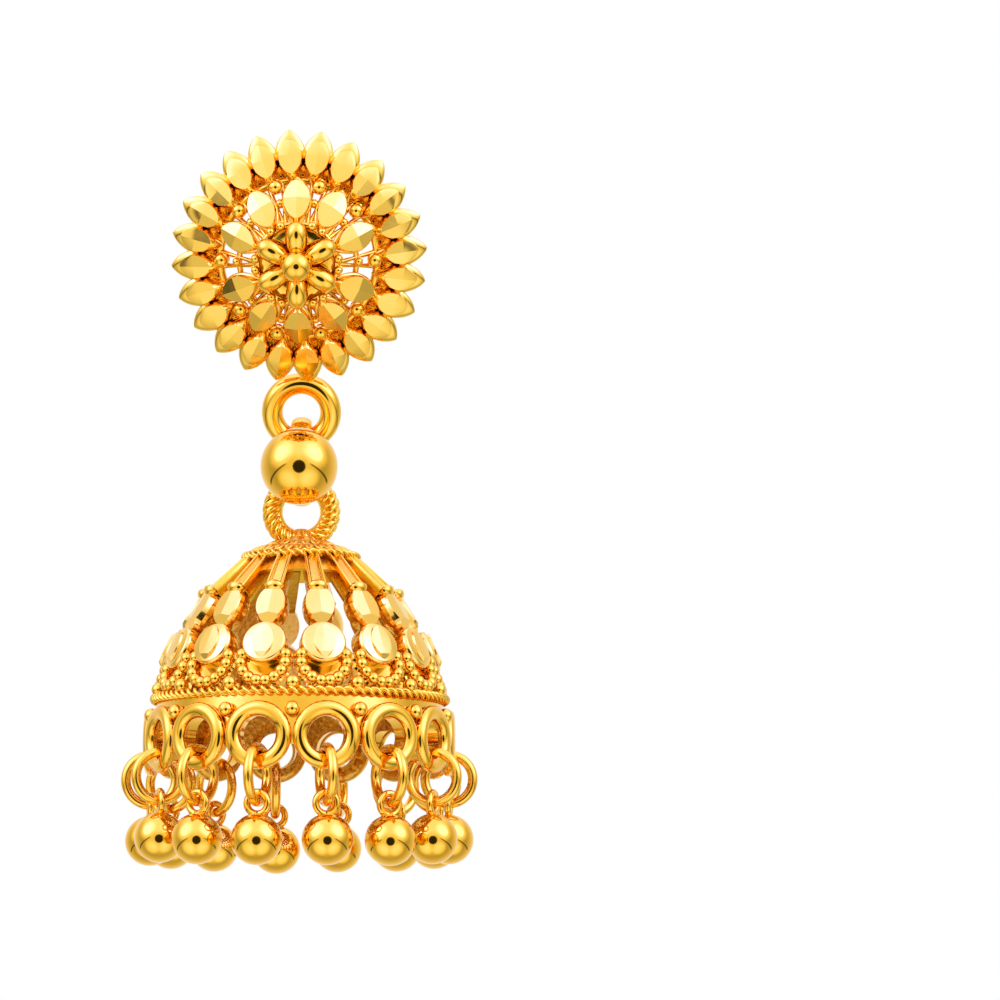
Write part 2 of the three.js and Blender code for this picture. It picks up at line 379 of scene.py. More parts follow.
# %% The petal shape
def petal_width(t, stem, tip):
    """Half the width along a petal from its stem at 0 to its tip at 1, as a share of the widest."""
    widest = stem / (stem + tip)
    peak = widest ** stem * (1 - widest) ** tip
    return t ** stem * (1 - t) ** tip / peak


def petal(name, length, wide, deep, stem, tip, segments, rings):
    """A closed petal along Z about its middle, in millimetres, its front towards -Y."""
    bpy.ops.mesh.primitive_uv_sphere_add(segments=segments, ring_count=rings, radius=0.5)
    obj = started(name)
    with editing(obj):
        for ring in range(1, rings):
            height = -0.5 * math.cos(math.pi * ring / rings)
            was = math.sqrt(0.25 - height * height)
            share = petal_width(height + 0.5, stem, tip) / (2 * was)
            pick(obj, lambda co: abs(co.z - height) < 0.001)
            bpy.ops.transform.resize(value=(share, share, 1))
    return moved(obj, scaled(wide, deep, length))


def four_cuts(obj, front, apex, sideways, lengthways):
    """Four facets round a raised point at the front; the angles are their slopes in degrees."""
    across, along = math.tan(math.radians(sideways)), math.tan(math.radians(lengthways))
    for side in (-1, 1):
        for end in (-1, 1):
            cut(obj, (0, -front, apex), Vector((side * across, -1, end * along)).normalized())


def nested(name, body, face, front, slopes, shift, tilt):
    """A rounded body with a faceted face standing on it. Body and face are each a length, a width
    and a depth; shift moves the face along the petal, and tilt turns it towards the tip."""
    under = petal(name, *body, 0.82, 0.76, 28, 20)
    smooth(under)
    over = petal("face", *face, 1.0, 0.95, 32, 24)
    four_cuts(over, front, 0.1, *slopes)
    cut(over, (0, 0.2, 0), (0, 1, 0))
    faceted(over, 0.05)
    moved(over, Matrix.Translation((0, 0, shift)) @ Matrix.Rotation(math.radians(-tilt), 4, "X"))
    return joined(name, [under, over])


# %% [markdown]
# ## The rosette's rows
#
# Twenty-four outer petals overlap a little at their widest, in a row that is turned a few degrees
# from upright. Ten more lie higher on the dome inside them, in two fans of five, above and below,
# with wider gaps at the sides. Six smooth drops form the flower round the middle bead. The slopes
# come from each row's rise over its run, so each petal lies on the dome.

# %% Outer petals
outer = {"count": 24, "turn": -4, "inner": 4.95, "outer": 8.62, "front_inner": 1.55, "front_outer": 0.75}
outer_slope = math.atan2(outer["front_inner"] - outer["front_outer"], outer["outer"] - outer["inner"])
outer_length = (outer["outer"] - outer["inner"]) / math.cos(outer_slope)
outer_middle = (outer["inner"] + outer["outer"]) / 2
outer_sunk = 0.45
outer_front = (outer["front_inner"] + outer["front_outer"]) / 2 - outer_sunk

template = nested("outer_petal", (outer_length, 2.1, 0.76), (3.3, 1.78, 3.2), 0.88, (6, 3), -0.2, 15)
outer_angles = around(outer["count"], math.radians(outer["turn"]))
places = [on_stud(outer_middle, outer_front, angle, outer_slope) for angle in outer_angles]
hand_in(spread("stud_outer_petals", template, places), "stud", "stud_gold", petal_gold, "stud")

# %% Middle petals
middle = {"inner": 2.5, "outer": 5.65, "front_inner": 3.75, "front_outer": 2.0}
middle_slope = math.atan2(middle["front_inner"] - middle["front_outer"], middle["outer"] - middle["inner"])
middle_length = (middle["outer"] - middle["inner"]) / math.cos(middle_slope)
middle_radius = (middle["inner"] + middle["outer"]) / 2
middle_sunk = 0.35
middle_front = (middle["front_inner"] + middle["front_outer"]) / 2 - middle_sunk

template = nested("middle_petal", (middle_length, 2.02, 0.76), (3.35, 1.86, 3.0), 0.64, (10, 5), 0, 2)
fan_step = 33
fans = [start + math.radians(fan_step * step) for start in (0, math.pi) for step in (-2, -1, 0, 1, 2)]
places = [on_stud(middle_radius, middle_front, angle, middle_slope) for angle in fans]
hand_in(spread("stud_middle_petals", template, places), "stud", "stud_gold", petal_gold, "stud")

# %% Flower and its bead
template = petal("flower_petal", 2.5, 1.5, 1.6, 0.6, 0.45, 28, 20)
cut(template, (0, 0.35, 0), (0, 1, 0))
smooth(template)
places = [on_stud(1.7, 3.75, angle) for angle in around(6)]
hand_in(spread("stud_flower", template, places), "stud", "stud_gold", polished, "stud")

bead_foot = 0.75
bpy.ops.mesh.primitive_uv_sphere_add(segments=48, ring_count=24, radius=1.06)
bead = started("stud_bead")
cut(bead, (0, bead_foot, 0), (0, 1, 0))
with editing(bead):
    pick(bead, lambda co: co.y > bead_foot - 0.001)
    bpy.ops.mesh.extrude_region_move(TRANSFORM_OT_translate={"value": (0, 0.5, 0)})
    bpy.ops.transform.resize(value=(1.35, 1, 1.35))
smooth(bead)
moved(bead, on_stud(0, 4.45, 0))
hand_in(bead, "stud", "stud_gold", polished, "stud")

# %% [markdown]
# ## Granules
#
# Granules are tiny balls that are fused on. The heat draws a little skirt of solder round the
# foot of each, so a granule is a sphere that is cut at the back and whose cut edge is pulled out
# into that skirt. The same granule, at other sizes, serves the bell.


# %% The granule shape
def granule(name, size, segments=20, rings=12):
    """A fused ball about its middle, in millimetres, its foot towards +Y."""
    radius = size / 2
    bpy.ops.mesh.primitive_uv_sphere_add(segments=segments, ring_count=rings, radius=radius)
    obj = started(name)
    cut(obj, (0, radius * 0.72, 0), (0, 1, 0))
    with editing(obj):
        pick(obj, lambda co: co.y > radius * 0.71)
        bpy.ops.mesh.extrude_region_move(TRANSFORM_OT_translate={"value": (0, radius * 0.3, 0)})
        bpy.ops.transform.resize(value=(1.5, 1, 1.5))
    return smooth(obj)


# %% Rosette granules
large = granule("large_granule", 1.0)
gap_turns = [fan_step * step for step in (-1.5, -0.5, 0.5, 1.5)] + [90]
gaps = [start + math.radians(turn) for start in (0, math.pi) for turn in gap_turns]
places = [on_stud(5.12, 1.75, angle) for angle in gaps]
hand_in(spread("stud_large_granules", large, places), "stud", "stud_gold", polished, "stud")

small = granule("small_granule", 0.6, 16, 10)
pairs = [angle + side * math.radians(8) for angle in around(6, TURN / 12) for side in (-1, 1)]
places = [on_stud(2.78, 3.5, angle) for angle in pairs]
places += [on_stud(4.05, 2.3, angle) for angle in gaps]
hand_in(spread("stud_small_granules", small, places), "stud", "stud_gold", polished, "stud")


# %% [markdown]
# ## Wires and the stud's ring
#
# Behind the petals, wires hold the rows together: rings under the rows, two of them pressed flat
# into plates, and pairs of spokes that climb the dome in the gaps between the middle petals. A ring
# is a torus. A spoke is a cylinder pinched at its middle, which an edge loop from a subdivision
# makes easy.


# %% Rings and spokes of the rosette
def wire_ring(name, middle_radius, wire, around_count=64, section=14):
    """A ring of round wire that faces the front, in millimetres."""
    bpy.ops.mesh.primitive_torus_add(major_radius=middle_radius, minor_radius=wire,
                                     major_segments=around_count, minor_segments=section)
    return smooth(moved(started(name), Matrix.Rotation(math.pi / 2, 4, "X")), 60)


def spoke(name, length, thick):
    bpy.ops.mesh.primitive_cylinder_add(vertices=12, radius=thick / 2, depth=length)
    obj = started(name)
    with editing(obj):
        bpy.ops.mesh.select_all(action="SELECT")
        bpy.ops.mesh.subdivide(number_cuts=1)
        pick(obj, lambda co: abs(co.z) < length * 0.01)
        bpy.ops.transform.resize(value=(0.6, 0.6, 1))
    return smooth(obj, 60)


outer_wire = {"radius": 5.25, "front": 1.0}
inner_wire = {"radius": 2.65, "front": 3.1}
lattice = [
    moved(wire_ring("outer_wire", outer_wire["radius"], 0.26), on_stud(0, outer_wire["front"], 0)),
    moved(wire_ring("inner_wire", inner_wire["radius"], 0.24), on_stud(0, inner_wire["front"], 0)),
    moved(wire_ring("rim_wire", 7.0, 0.22), on_stud(0, 0.35, 0)),
    moved(wire_ring("stem_plate", 5.9, 0.7), on_stud(0, 0.3, 0) @ scaled(1, 0.4, 1)),
    moved(wire_ring("petal_wire", 3.9, 0.2), on_stud(0, 2.0, 0)),
    moved(wire_ring("flower_plate", 1.85, 0.75), on_stud(0, 2.9, 0) @ scaled(1, 0.3, 1)),
]
rise, run = inner_wire["front"] - outer_wire["front"], outer_wire["radius"] - inner_wire["radius"]
template = spoke("spoke", math.hypot(rise, run), 0.4)
spoke_turn, spoke_aside = 0.13, 0.28
places = [on_stud(3.95, 2.05, angle, math.atan2(rise, run)) @ Matrix.Rotation(side * spoke_turn, 4, "Y")
          @ Matrix.Translation((side * spoke_aside, 0, 0)) for angle in gaps for side in (-1, 1)]
lattice.append(spread("spokes", template, places))
template = spoke("flower_spoke", 2.6, 0.5)
places = [on_stud(1.4, 3.2, angle) for angle in around(6)]
lattice.append(spread("flower_spokes", template, places))
hand_in(joined("stud_lattice", lattice), "stud", "stud_gold", wire_gold, "stud")

# %% Stud ring
stud_ring_wire = 0.715
stud_ring = moved(wire_ring("stud_ring", 1.985, stud_ring_wire, 96, 36), on_stud(0, -0.3, 0)
                  @ Matrix.Translation((0, 0, -10.8)))
hand_in(stud_ring, "stud", "stud_gold", polished, "stud")

# %% [markdown]
# ## Ear post
#
# The post is hidden behind the stud: a plain drawn pin on a thin foot. It is a cylinder whose back
# end is drawn out and narrowed, and whose front end is widened into the foot. A cut just behind the
# foot, drawn in to the pin's thickness, keeps the pin straight.

# %% Post
bpy.ops.mesh.primitive_cylinder_add(vertices=32, radius=0.45, depth=11.0,
                                    rotation=(math.pi / 2, 0, 0), location=(0, 3.5, 0))
post = started("post_pin")
bpy.ops.object.transform_apply(location=True, rotation=True)
foot_back = -1.86
with editing(post):
    pick(post, lambda co: co.y > 8.9)
    bpy.ops.mesh.extrude_region_move(TRANSFORM_OT_translate={"value": (0, 0.35, 0)})
    bpy.ops.transform.resize(value=(0.5, 1, 0.5))
    pick(post, lambda co: co.y < -1.9)
    bpy.ops.transform.resize(value=(3.3, 1, 3.3))
    bpy.ops.mesh.extrude_region_move(TRANSFORM_OT_translate={"value": (0, -0.35, 0)})
with editing(post):
    bpy.ops.mesh.select_all(action="SELECT")
    bpy.ops.mesh.bisect(plane_co=(0, foot_back, 0), plane_no=(0, 1, 0))
    pick(post, lambda co: abs(co.y - foot_back) < 0.01)
    bpy.ops.transform.resize(value=(0.31, 1, 0.31))
soften(post, 0.06)
smooth(post)
moved(post, STUD @ Matrix.Scale(MM, 4))
hand_in(post, "stud", "post_gold", post_gold, "ear_post")

# %% [markdown]
# ## Connector
#
# The link is a torus that is pulled apart at its middle: its segments are set so that none lies on
# the level where it opens, so the two limbs between the halves come out straight. The ball is
# soldered to its front limb, with a small neck where the solder flowed.

# %% Link and ball
loop_radius, loop_wire, clearance = 1.9, 0.62, 0.1
wire_spacing = (hinges["link_swing"].z - hinges["bell_swing"].z) / MM - loop_radius
link_inner, link_thick, link_broad = 0.9, 0.8, 1.4
top_centre = stud_ring_wire + clearance - link_inner
bottom_centre = -wire_spacing - loop_wire - clearance + link_inner
bpy.ops.mesh.primitive_torus_add(major_radius=link_inner + link_thick / 2, minor_radius=link_thick / 2,
                                 major_segments=48, minor_segments=24)
link = started("connector_link")
moved(link, Matrix.Rotation(math.pi / 2, 4, "Y") @ scaled(1, 1, link_broad / link_thick)
      @ Matrix.Rotation(TURN / 96, 4, "Z"))
with editing(link):
    pick(link, lambda co: co.z < 0)
    bpy.ops.transform.translate(value=(0, 0, bottom_centre))
    pick(link, lambda co: co.z > bottom_centre / 2)
    bpy.ops.transform.translate(value=(0, 0, top_centre))
smooth(link, 60)
moved(link, LINK @ Matrix.Scale(MM, 4))
hand_in(link, "connector", "connector_gold", polished, "connector")

ball_radius, neck_turn = 2.6, 12
bpy.ops.mesh.primitive_uv_sphere_add(segments=96, ring_count=48, radius=ball_radius)
ball = moved(started("connector_ball"), Matrix.Rotation(math.pi / 2, 4, "X"))
with editing(ball):
    pick(ball, lambda co: co.y > ball_radius * math.cos(math.radians(neck_turn)))
    bpy.ops.mesh.inset(thickness=0.08)
    bpy.ops.mesh.extrude_region_move(TRANSFORM_OT_translate={"value": (0, -0.2, 0)})
smooth(ball)
moved(ball, LINK @ Matrix.Scale(MM, 4) @ Matrix.Translation((0, -3.4, -2.2)))
hand_in(ball, "connector", "connector_gold", polished, "connector")

# %% [markdown]
# ## Twisted ropes
#
# The loop, the cap's edge and the band above the rim carry ropes of twisted wire. A rope is made
# straight first: the sections of its strands are small circles beside the axis, and a Screw
# modifier turns them along it. A Simple Deform modifier then bends the straight rope round into a
# ring. Its ends meet at one side of each strand, where they are merged, and leave a short open seam
# beside that: at the back of the bell, and at the top of its loop.


# %% The rope ring
def rope(name, radius, thick, turns, strands=2, steps=12, section=8):
    """A ring of twisted strands round Z, in millimetres. Thick is the rope's whole thickness."""
    strand = thick / 2 / (1 + math.sin(math.pi / strands)) * 1.06
    strand = strand * math.sin(math.pi / strands)
    offset = thick / 2 - strand
    pieces = []
    for angle in around(strands):
        bpy.ops.mesh.primitive_circle_add(vertices=section, radius=strand, fill_type="NOTHING",
                                          rotation=(math.pi / 2, 0, 0))
        circle = started(f"{name}_strand")
        bpy.ops.object.transform_apply(rotation=True)
        moved(circle, Matrix.Rotation(angle, 4, "Z") @ Matrix.Translation((offset, 0, 0)))
        pieces.append(circle)
    obj = joined(name, pieces)
    length = TURN * radius
    modified(obj, "SCREW", angle=TURN, screw_offset=length / turns, iterations=turns,
             steps=steps, render_steps=steps, use_smooth_shade=True)
    moved(obj, Matrix.Rotation(math.pi / 2, 4, "Y"))
    modified(obj, "SIMPLE_DEFORM", deform_method="BEND", angle=TURN, deform_axis="Z")
    with editing(obj):
        bpy.ops.mesh.select_all(action="SELECT")
        bpy.ops.mesh.remove_doubles(threshold=0.01)
        bpy.ops.mesh.normals_make_consistent(inside=False)
    low, high = extent(obj)
    moved(obj, Matrix.Rotation(math.pi, 4, "Z") @ Matrix.Translation(-(low + high) / 2))
    low, high = extent(obj)
    print(name, "outer radius", round(high.x, 2), "thickness", round(high.z - low.z, 2))
    return smooth(obj, 70)


def extent(obj):
    places = [vertex.co for vertex in obj.data.vertices]
    low = Vector([min(co[axis] for co in places) for axis in range(3)])
    high = Vector([max(co[axis] for co in places) for axis in range(3)])
    return low, high


# %% [markdown]
# ## The bell's loop and cap
#
# The loop is a ring wound with thick strands, with a fine rope along each of its outer edges. It
# stands on a small boss on the low cone of the cap, which is chased with two rows of little leaves
# and bound with a rope. A short skirt hangs under the cap, behind the ribs.

# %% Bell loop
upright = Matrix.Rotation(math.pi / 2, 4, "X")
parts = [wire_ring("loop_core", loop_radius, 0.63, 64, 20)]
wound = rope("loop_winding", loop_radius, 1.36, 6, strands=4, steps=16, section=10)
parts.append(moved(wound, scaled(1, 1.25, 1) @ upright))
for side in (-1, 1):
    edge = rope("loop_edge", 2.36, 0.28, 20, steps=8, section=6)
    parts.append(moved(edge, Matrix.Translation((0, side * 0.62, 0)) @ upright))
loop = joined("bell_loop", parts)
moved(loop, BELL @ Matrix.Scale(MM, 4))
hand_in(loop, "bell", "bell_gold", rope_gold, "bell")

# %% Cap
cap_edge, cap_neck, cap_height = 3.68, 1.25, 0.95
bpy.ops.mesh.primitive_cone_add(vertices=84, radius1=cap_edge, radius2=cap_neck, depth=cap_height,
                                location=(0, 0, -2.48))
cap = started("bell_cap")
bpy.ops.object.transform_apply(location=True)
with editing(cap):
    pick(cap, lambda co: co.z > -2.1)
    bpy.ops.mesh.extrude_region_move(TRANSFORM_OT_translate={"value": (0, 0, 0.28)})
    bpy.ops.transform.resize(value=(0.85, 0.85, 1))
    pick(cap, lambda co: co.z < -2.9)
    bpy.ops.mesh.inset(thickness=0.35)
    bpy.ops.mesh.extrude_region_move(TRANSFORM_OT_translate={"value": (0, 0, 0.55)})
    bpy.ops.transform.resize(value=(0.6, 0.6, 1))
soften(cap, 0.05)
smooth(cap)
bpy.ops.mesh.primitive_cone_add(vertices=84, radius1=4.3, radius2=3.3, depth=1.1,
                                end_fill_type="NOTHING", location=(0, 0, -3.75))
skirt = started("cap_skirt")
bpy.ops.object.transform_apply(location=True)
modified(skirt, "SOLIDIFY", thickness=0.22, offset=-1)
smooth(skirt)
leaf = petal("cap_leaf", 1.25, 0.62, 0.34, 0.9, 0.7, 12, 8)
smooth(leaf)
cap_slope = 90 - math.degrees(math.atan2(cap_height, cap_edge - cap_neck))
leaf_rows = [
    {"radius": 3.05, "height": -2.64, "angles": around(28)},
    {"radius": 2.0, "height": -2.23, "angles": around(18, TURN / 36)},
]
places = [Matrix.Rotation(angle, 4, "Z") @ Matrix.Translation((0, -row["radius"], row["height"]))
          @ Matrix.Rotation(-math.radians(cap_slope), 4, "X")
          for row in leaf_rows for angle in row["angles"]]
cap = joined("bell_cap", [cap, skirt, spread("cap_leaves", leaf, places)])
moved(cap, BELL @ Matrix.Scale(MM, 4))
hand_in(cap, "bell", "bell_gold", chased_gold, "bell")

cap_rope = rope("bell_cap_rope", 3.72, 0.6, 20)
moved(cap_rope, BELL @ Matrix.Scale(MM, 4) @ Matrix.Translation((0, 0, -3.1)))
hand_in(cap_rope, "bell", "bell_gold", rope_gold, "bell")

# %% [markdown]
# ## Fourteen sectors
#
# Everything below the cap repeats fourteen times. In the middle of each sector a grooved rib comes
# down to a collar, an upper petal and a round setting with a pointed face, and between two sectors
# a granule sits where two festoons meet. The next cells model one of each and set it round.

# %% Sector angles
sector_count = 14
sectors = around(sector_count, TURN / (2 * sector_count))
between = around(sector_count)
print("first sector at", round(math.degrees(sectors[0]), 1), "degrees")

# %% Ribs
rib_from, rib_to = Vector((3.5, -3.15)), Vector((6.35, -5.75))
rib_length = (rib_to - rib_from).length
rib_slope = math.degrees(math.atan2(rib_to.x - rib_from.x, rib_from.y - rib_to.y))
bpy.ops.mesh.primitive_cube_add(size=1)
rib = moved(started("rib"), Matrix.Translation((0, 0.3, 0)) @ scaled(1.2, 1.2, rib_length))
with editing(rib):
    pick(rib, lambda co: co.z > 0)
    bpy.ops.transform.resize(value=(0.82, 1, 1))
    pick(rib, lambda co: co.y < 0)
    bpy.ops.mesh.inset(thickness=0.16)
    bpy.ops.mesh.extrude_region_move(TRANSFORM_OT_translate={"value": (0, 0.14, 0)})
    bpy.ops.transform.resize(value=(0.75, 1, 1))
soften(rib, 0.05, 3)
smooth(rib)
middle_of_rib = (rib_from + rib_to) / 2
places = [on_bell(middle_of_rib.x, middle_of_rib.y, angle, rib_slope) for angle in sectors]
hand_in(spread("bell_ribs", rib, places), "bell", "bell_gold", rib_gold, "bell")

# %% Collars
bpy.ops.mesh.primitive_uv_sphere_add(segments=24, ring_count=16, radius=0.5)
collar = moved(started("collar"), scaled(1.32, 1.1, 0.86))
with editing(collar):
    pick(collar, lambda co: abs(co.z) < 0.02)
    bpy.ops.transform.resize(value=(1.06, 1.06, 1))
smooth(collar, 60)
places = [on_bell(6.5, -5.72, angle, 40) for angle in sectors]
hand_in(spread("bell_collars", collar, places), "bell", "bell_gold", bell_polished, "bell")

# %% Upper petals
template = petal("upper_petal", 3.0, 2.15, 3.0, 0.45, 0.45, 32, 20)
cut(template, (0, -0.78, 0), Vector((0.13, -1, 0)).normalized())
cut(template, (0, -0.78, 0), Vector((-0.13, -1, 0)).normalized())
cut(template, (0, -0.72, -0.92), Vector((0, -1, -0.7)).normalized())
cut(template, (0, 0, 1.25), (0, -0.2, 1))
cut(template, (0, 0.45, 0), (0, 1, 0))
faceted(template)
places = [on_bell(6.85, -7.2, angle, 33) for angle in sectors]
hand_in(spread("bell_upper_petals", template, places), "bell", "bell_gold", bright_cut, "bell")

# %% Settings
bpy.ops.mesh.primitive_cylinder_add(vertices=48, radius=1.5, depth=1.0,
                                    rotation=(math.pi / 2, 0, 0))
disc = started("setting_disc")
bpy.ops.object.transform_apply(rotation=True)
with editing(disc):
    pick(disc, lambda co: co.y < 0)
    bpy.ops.mesh.extrude_region_move(TRANSFORM_OT_translate={"value": (0, -0.2, 0)})
    bpy.ops.transform.resize(value=(0.93, 1, 0.93))
    bpy.ops.mesh.inset(thickness=0.95)
    bpy.ops.transform.translate(value=(0, -0.16, 0))
soften(disc, 0.07, 3)
smooth(disc, 60)
face = petal("setting_face", 2.75, 1.62, 4.4, 0.72, 0.72, 32, 22)
cut(face, (0, -0.97, 0), Vector((0.05, -1, 0.03)).normalized())
cut(face, (0, -0.97, 0), Vector((-0.05, -1, 0.03)).normalized())
cut(face, (0, -0.92, -1.0), Vector((0, -1, -0.9)).normalized())
cut(face, (0, 0.3, 0), (0, 1, 0))
faceted(face, 0.05)
template = joined("setting", [disc, face])
places = [on_bell(8.3, -9.75, angle, 23) for angle in sectors]
hand_in(spread("bell_settings", template, places), "bell", "bell_gold", bright_cut, "bell")

# %% [markdown]
# ## Festoons
#
# Under each setting hangs a string of tiny beads, soldered along the scalloped edge of a thin
# plate. The beads follow an arc in the slope of the bell, so their places come from an angle that
# runs from one end of the arc to the other.

# %% Festoon plates and beads
arc = {"radius": 1.52, "foot_radius": 9.5, "foot_height": -12.15, "slope": 22, "beads": 10, "span": 105}
bpy.ops.mesh.primitive_cylinder_add(vertices=48, radius=arc["radius"], depth=0.3,
                                    rotation=(math.pi / 2, 0, 0))
plate = started("festoon_plate")
bpy.ops.object.transform_apply(rotation=True)
cut(plate, (0, 0, 0.6), (0, 0, 1))
with editing(plate):
    pick(plate, lambda co: co.y < 0)
    bpy.ops.mesh.inset(thickness=0.3)
    bpy.ops.mesh.extrude_region_move(TRANSFORM_OT_translate={"value": (0, 0.12, 0)})
soften(plate, 0.03)
smooth(plate)
raised = Matrix.Translation((0, 0.3, arc["radius"]))
foot = (arc["foot_radius"], arc["foot_height"])
places = [on_bell(*foot, angle, arc["slope"]) @ raised for angle in sectors]
hand_in(spread("bell_festoon_plates", plate, places), "bell", "bell_gold", bell_polished, "bell")

bead = granule("festoon_bead", 0.84, 16, 10)
places = []
for angle in sectors:
    for step in range(arc["beads"]):
        turn = math.radians(arc["span"] * (2 * step / (arc["beads"] - 1) - 1))
        along = arc["radius"] * math.sin(turn)
        up = arc["radius"] * (1 - math.cos(turn))
        places.append(on_bell(*foot, angle, arc["slope"]) @ Matrix.Translation((along, 0, up)))
hand_in(spread("bell_festoon_beads", bead, places), "bell", "bell_gold", bell_polished, "bell")

# %% Granules between the festoons
template = granule("between_granule", 0.95, 24, 14)
places = [on_bell(9.65, -12.25, angle, 15) for angle in between]
hand_in(spread("bell_granules", template, places), "bell", "bell_gold", bell_polished, "bell")

# %% [markdown]
# ## Rope band and rim
#
# The bell ends in a rope and a smooth band with fourteen eyelets. The band is an open cylinder that
# is given its wall by Solidify, and a Boolean cuts the eyelets' holes through it. Each eyelet is a
# thick rounded ring whose hole runs on inwards as a short tube, so that it looks deep.

# %% Rope band
band_rope = rope("bell_rope", 9.72, 0.72, 48, steps=14)
moved(band_rope, BELL @ Matrix.Scale(MM, 4) @ Matrix.Translation((0, 0, -12.8)))
hand_in(band_rope, "bell", "bell_gold", rope_gold, "bell")

# %% Rim
rim_top, rim_bottom, rim_radius, rim_wall = -12.9, -16.3, 9.95, 0.45
eyelet_height = -15.7
bpy.ops.mesh.primitive_cylinder_add(vertices=168, radius=rim_radius, depth=rim_top - rim_bottom,
                                    end_fill_type="NOTHING", location=(0, 0, (rim_top + rim_bottom) / 2))
rim = started("bell_rim")
bpy.ops.object.transform_apply(location=True)
modified(rim, "SOLIDIFY", thickness=rim_wall, offset=-1)
with editing(rim):
    pick(rim, lambda co: co.z > rim_top - 0.01)
    bpy.ops.transform.resize(value=(0.97, 0.97, 1))
bpy.ops.mesh.primitive_cylinder_add(vertices=40, radius=1.45, depth=3, rotation=(math.pi / 2, 0, 0))
hole = started("hole")
bpy.ops.object.transform_apply(rotation=True)
around_rim = [Matrix.Rotation(angle, 4, "Z") @ Matrix.Translation((0, -rim_radius, eyelet_height))
              for angle in sectors]
holes = spread("holes", hole, around_rim)
modified(rim, "BOOLEAN", object=holes, operation="DIFFERENCE", solver="EXACT")
bpy.data.objects.remove(holes)
smooth(rim)
moved(rim, BELL @ Matrix.Scale(MM, 4))
hand_in(rim, "bell", "bell_gold", bell_polished, "bell")

# %% Eyelets
ring = moved(wire_ring("eyelet_ring", 1.73, 0.52, 56, 20), scaled(1, 0.85, 1))
bpy.ops.mesh.primitive_cylinder_add(vertices=48, radius=1.62, depth=1.3, end_fill_type="NOTHING",
                                    rotation=(math.pi / 2, 0, 0), location=(0, 0.5, 0))
tube = started("eyelet_tube")
bpy.ops.object.transform_apply(location=True, rotation=True)
modified(tube, "SOLIDIFY", thickness=0.3, offset=-1)
smooth(tube)
eyelet = joined("eyelet", [ring, tube])
places = [on_bell(10.02, eyelet_height, angle) for angle in sectors]
hand_in(spread("bell_eyelets", eyelet, places), "bell", "bell_gold", bell_polished, "bell")

# %% Rim granules
template = granule("rim_granule", 1.0, 24, 14)
places = [on_bell(10.1, -14.0, angle) for angle in between]
hand_in(spread("bell_rim_granules", template, places), "bell", "bell_gold", bell_polished, "bell")

# %% [markdown]
# ## Bead drops
#
# Fourteen polished beads hang round the rim. Each has a small wire loop, and a jump ring goes
# through that loop and the eyelet. They hang a little unevenly, as real ones do: the table gives
# each ring's outer size, how far its bead sways along the rim and how far the ring is turned.

# %% The lie of each drop
# ring in millimetres, sway and turn in degrees, going round from the front towards +X
drops = [
    {"ring": 4.2, "sway": -2, "turn": 4},
    {"ring": 4.2, "sway": -2, "turn": -6},
    {"ring": 4.0, "sway": 1, "turn": 8},
    {"ring": 3.9, "sway": 3, "turn": -5},
    {"ring": 4.1, "sway": -3, "turn": 7},
    {"ring": 4.2, "sway": 2, "turn": -8},
    {"ring": 4.2, "sway": -2, "turn": 5},
    {"ring": 4.3, "sway": 3, "turn": -7},
    {"ring": 4.2, "sway": -1, "turn": 6},
    {"ring": 4.1, "sway": 2, "turn": -4},
    {"ring": 4.0, "sway": -2, "turn": 8},
    {"ring": 3.9, "sway": -1, "turn": -6},
    {"ring": 4.1, "sway": 1, "turn": 5},
    {"ring": 4.2, "sway": 1, "turn": -4},
]
ring_wire, wire_height = 0.33, -0.83
bead_radius, bead_centre, bead_top_turn = 1.675, -2.415, 10
print("drops:", len(drops))

# %% The bead with its loop
bpy.ops.mesh.primitive_uv_sphere_add(segments=72, ring_count=40, radius=bead_radius,
                                     location=(0, 0, bead_centre))
bead = started("bead")
bpy.ops.object.transform_apply(location=True)
with editing(bead):
    pick(bead, lambda co: co.z > bead_centre + bead_radius * math.cos(math.radians(bead_top_turn)))
    bpy.ops.mesh.extrude_region_move(TRANSFORM_OT_translate={"value": (0, 0, 0.12)})
    bpy.ops.mesh.inset(thickness=0.08)
smooth(bead)
bead = joined("bead", [bead, moved(wire_ring("bead_loop", 0.71, 0.24, 40, 14),
                                   Matrix.Translation((0, 0, -0.08)))])

# %% Hang them
for number, (angle, drop) in enumerate(zip(sectors, drops), 1):
    ring_middle = drop["ring"] / 2 - ring_wire
    eyelet_place = on_bell(10.05, eyelet_height, angle)
    turned = Matrix.Rotation(math.radians(drop["turn"]), 4, "Z")
    swayed = Matrix.Rotation(math.radians(drop["sway"]), 4, "Y")
    bpy.ops.mesh.primitive_torus_add(major_radius=ring_middle, minor_radius=ring_wire,
                                     major_segments=64, minor_segments=18)
    ring = smooth(started(f"jump_ring_{number:02d}"), 60)
    moved(ring, eyelet_place @ Matrix.Translation((0, 0, wire_height - ring_middle)) @ turned
          @ Matrix.Rotation(math.pi / 2, 4, "Y"))
    hand_in(ring, "bell", "ring_gold", wire_gold, f"drop_ring_{number:02d}")
    place = eyelet_place @ Matrix.Translation((0, 0, wire_height - 2 * ring_middle)) @ swayed @ turned
    hung = copy_of(bead, place, f"bead_drop_{number:02d}")
    hand_in(hung, "bell", "ball_gold", polished, f"drop_ball_{number:02d}")
bpy.data.objects.remove(bead)

# %% [markdown]
# ## Studio
#
# Polished gold shows what stands round it, so it is lit from inside a white tent: soft everywhere,
# with bright boxes high on the left and right, a bright top, a darker round opening in front where
# the lens looks in, and two thin seams low at the sides. Those give the beads their dark middle
# spot and the fine lines beside it. The brightest boxes are a little cool, so that the highlights
# come out cream. The floor is plain and pale, well below the drops.


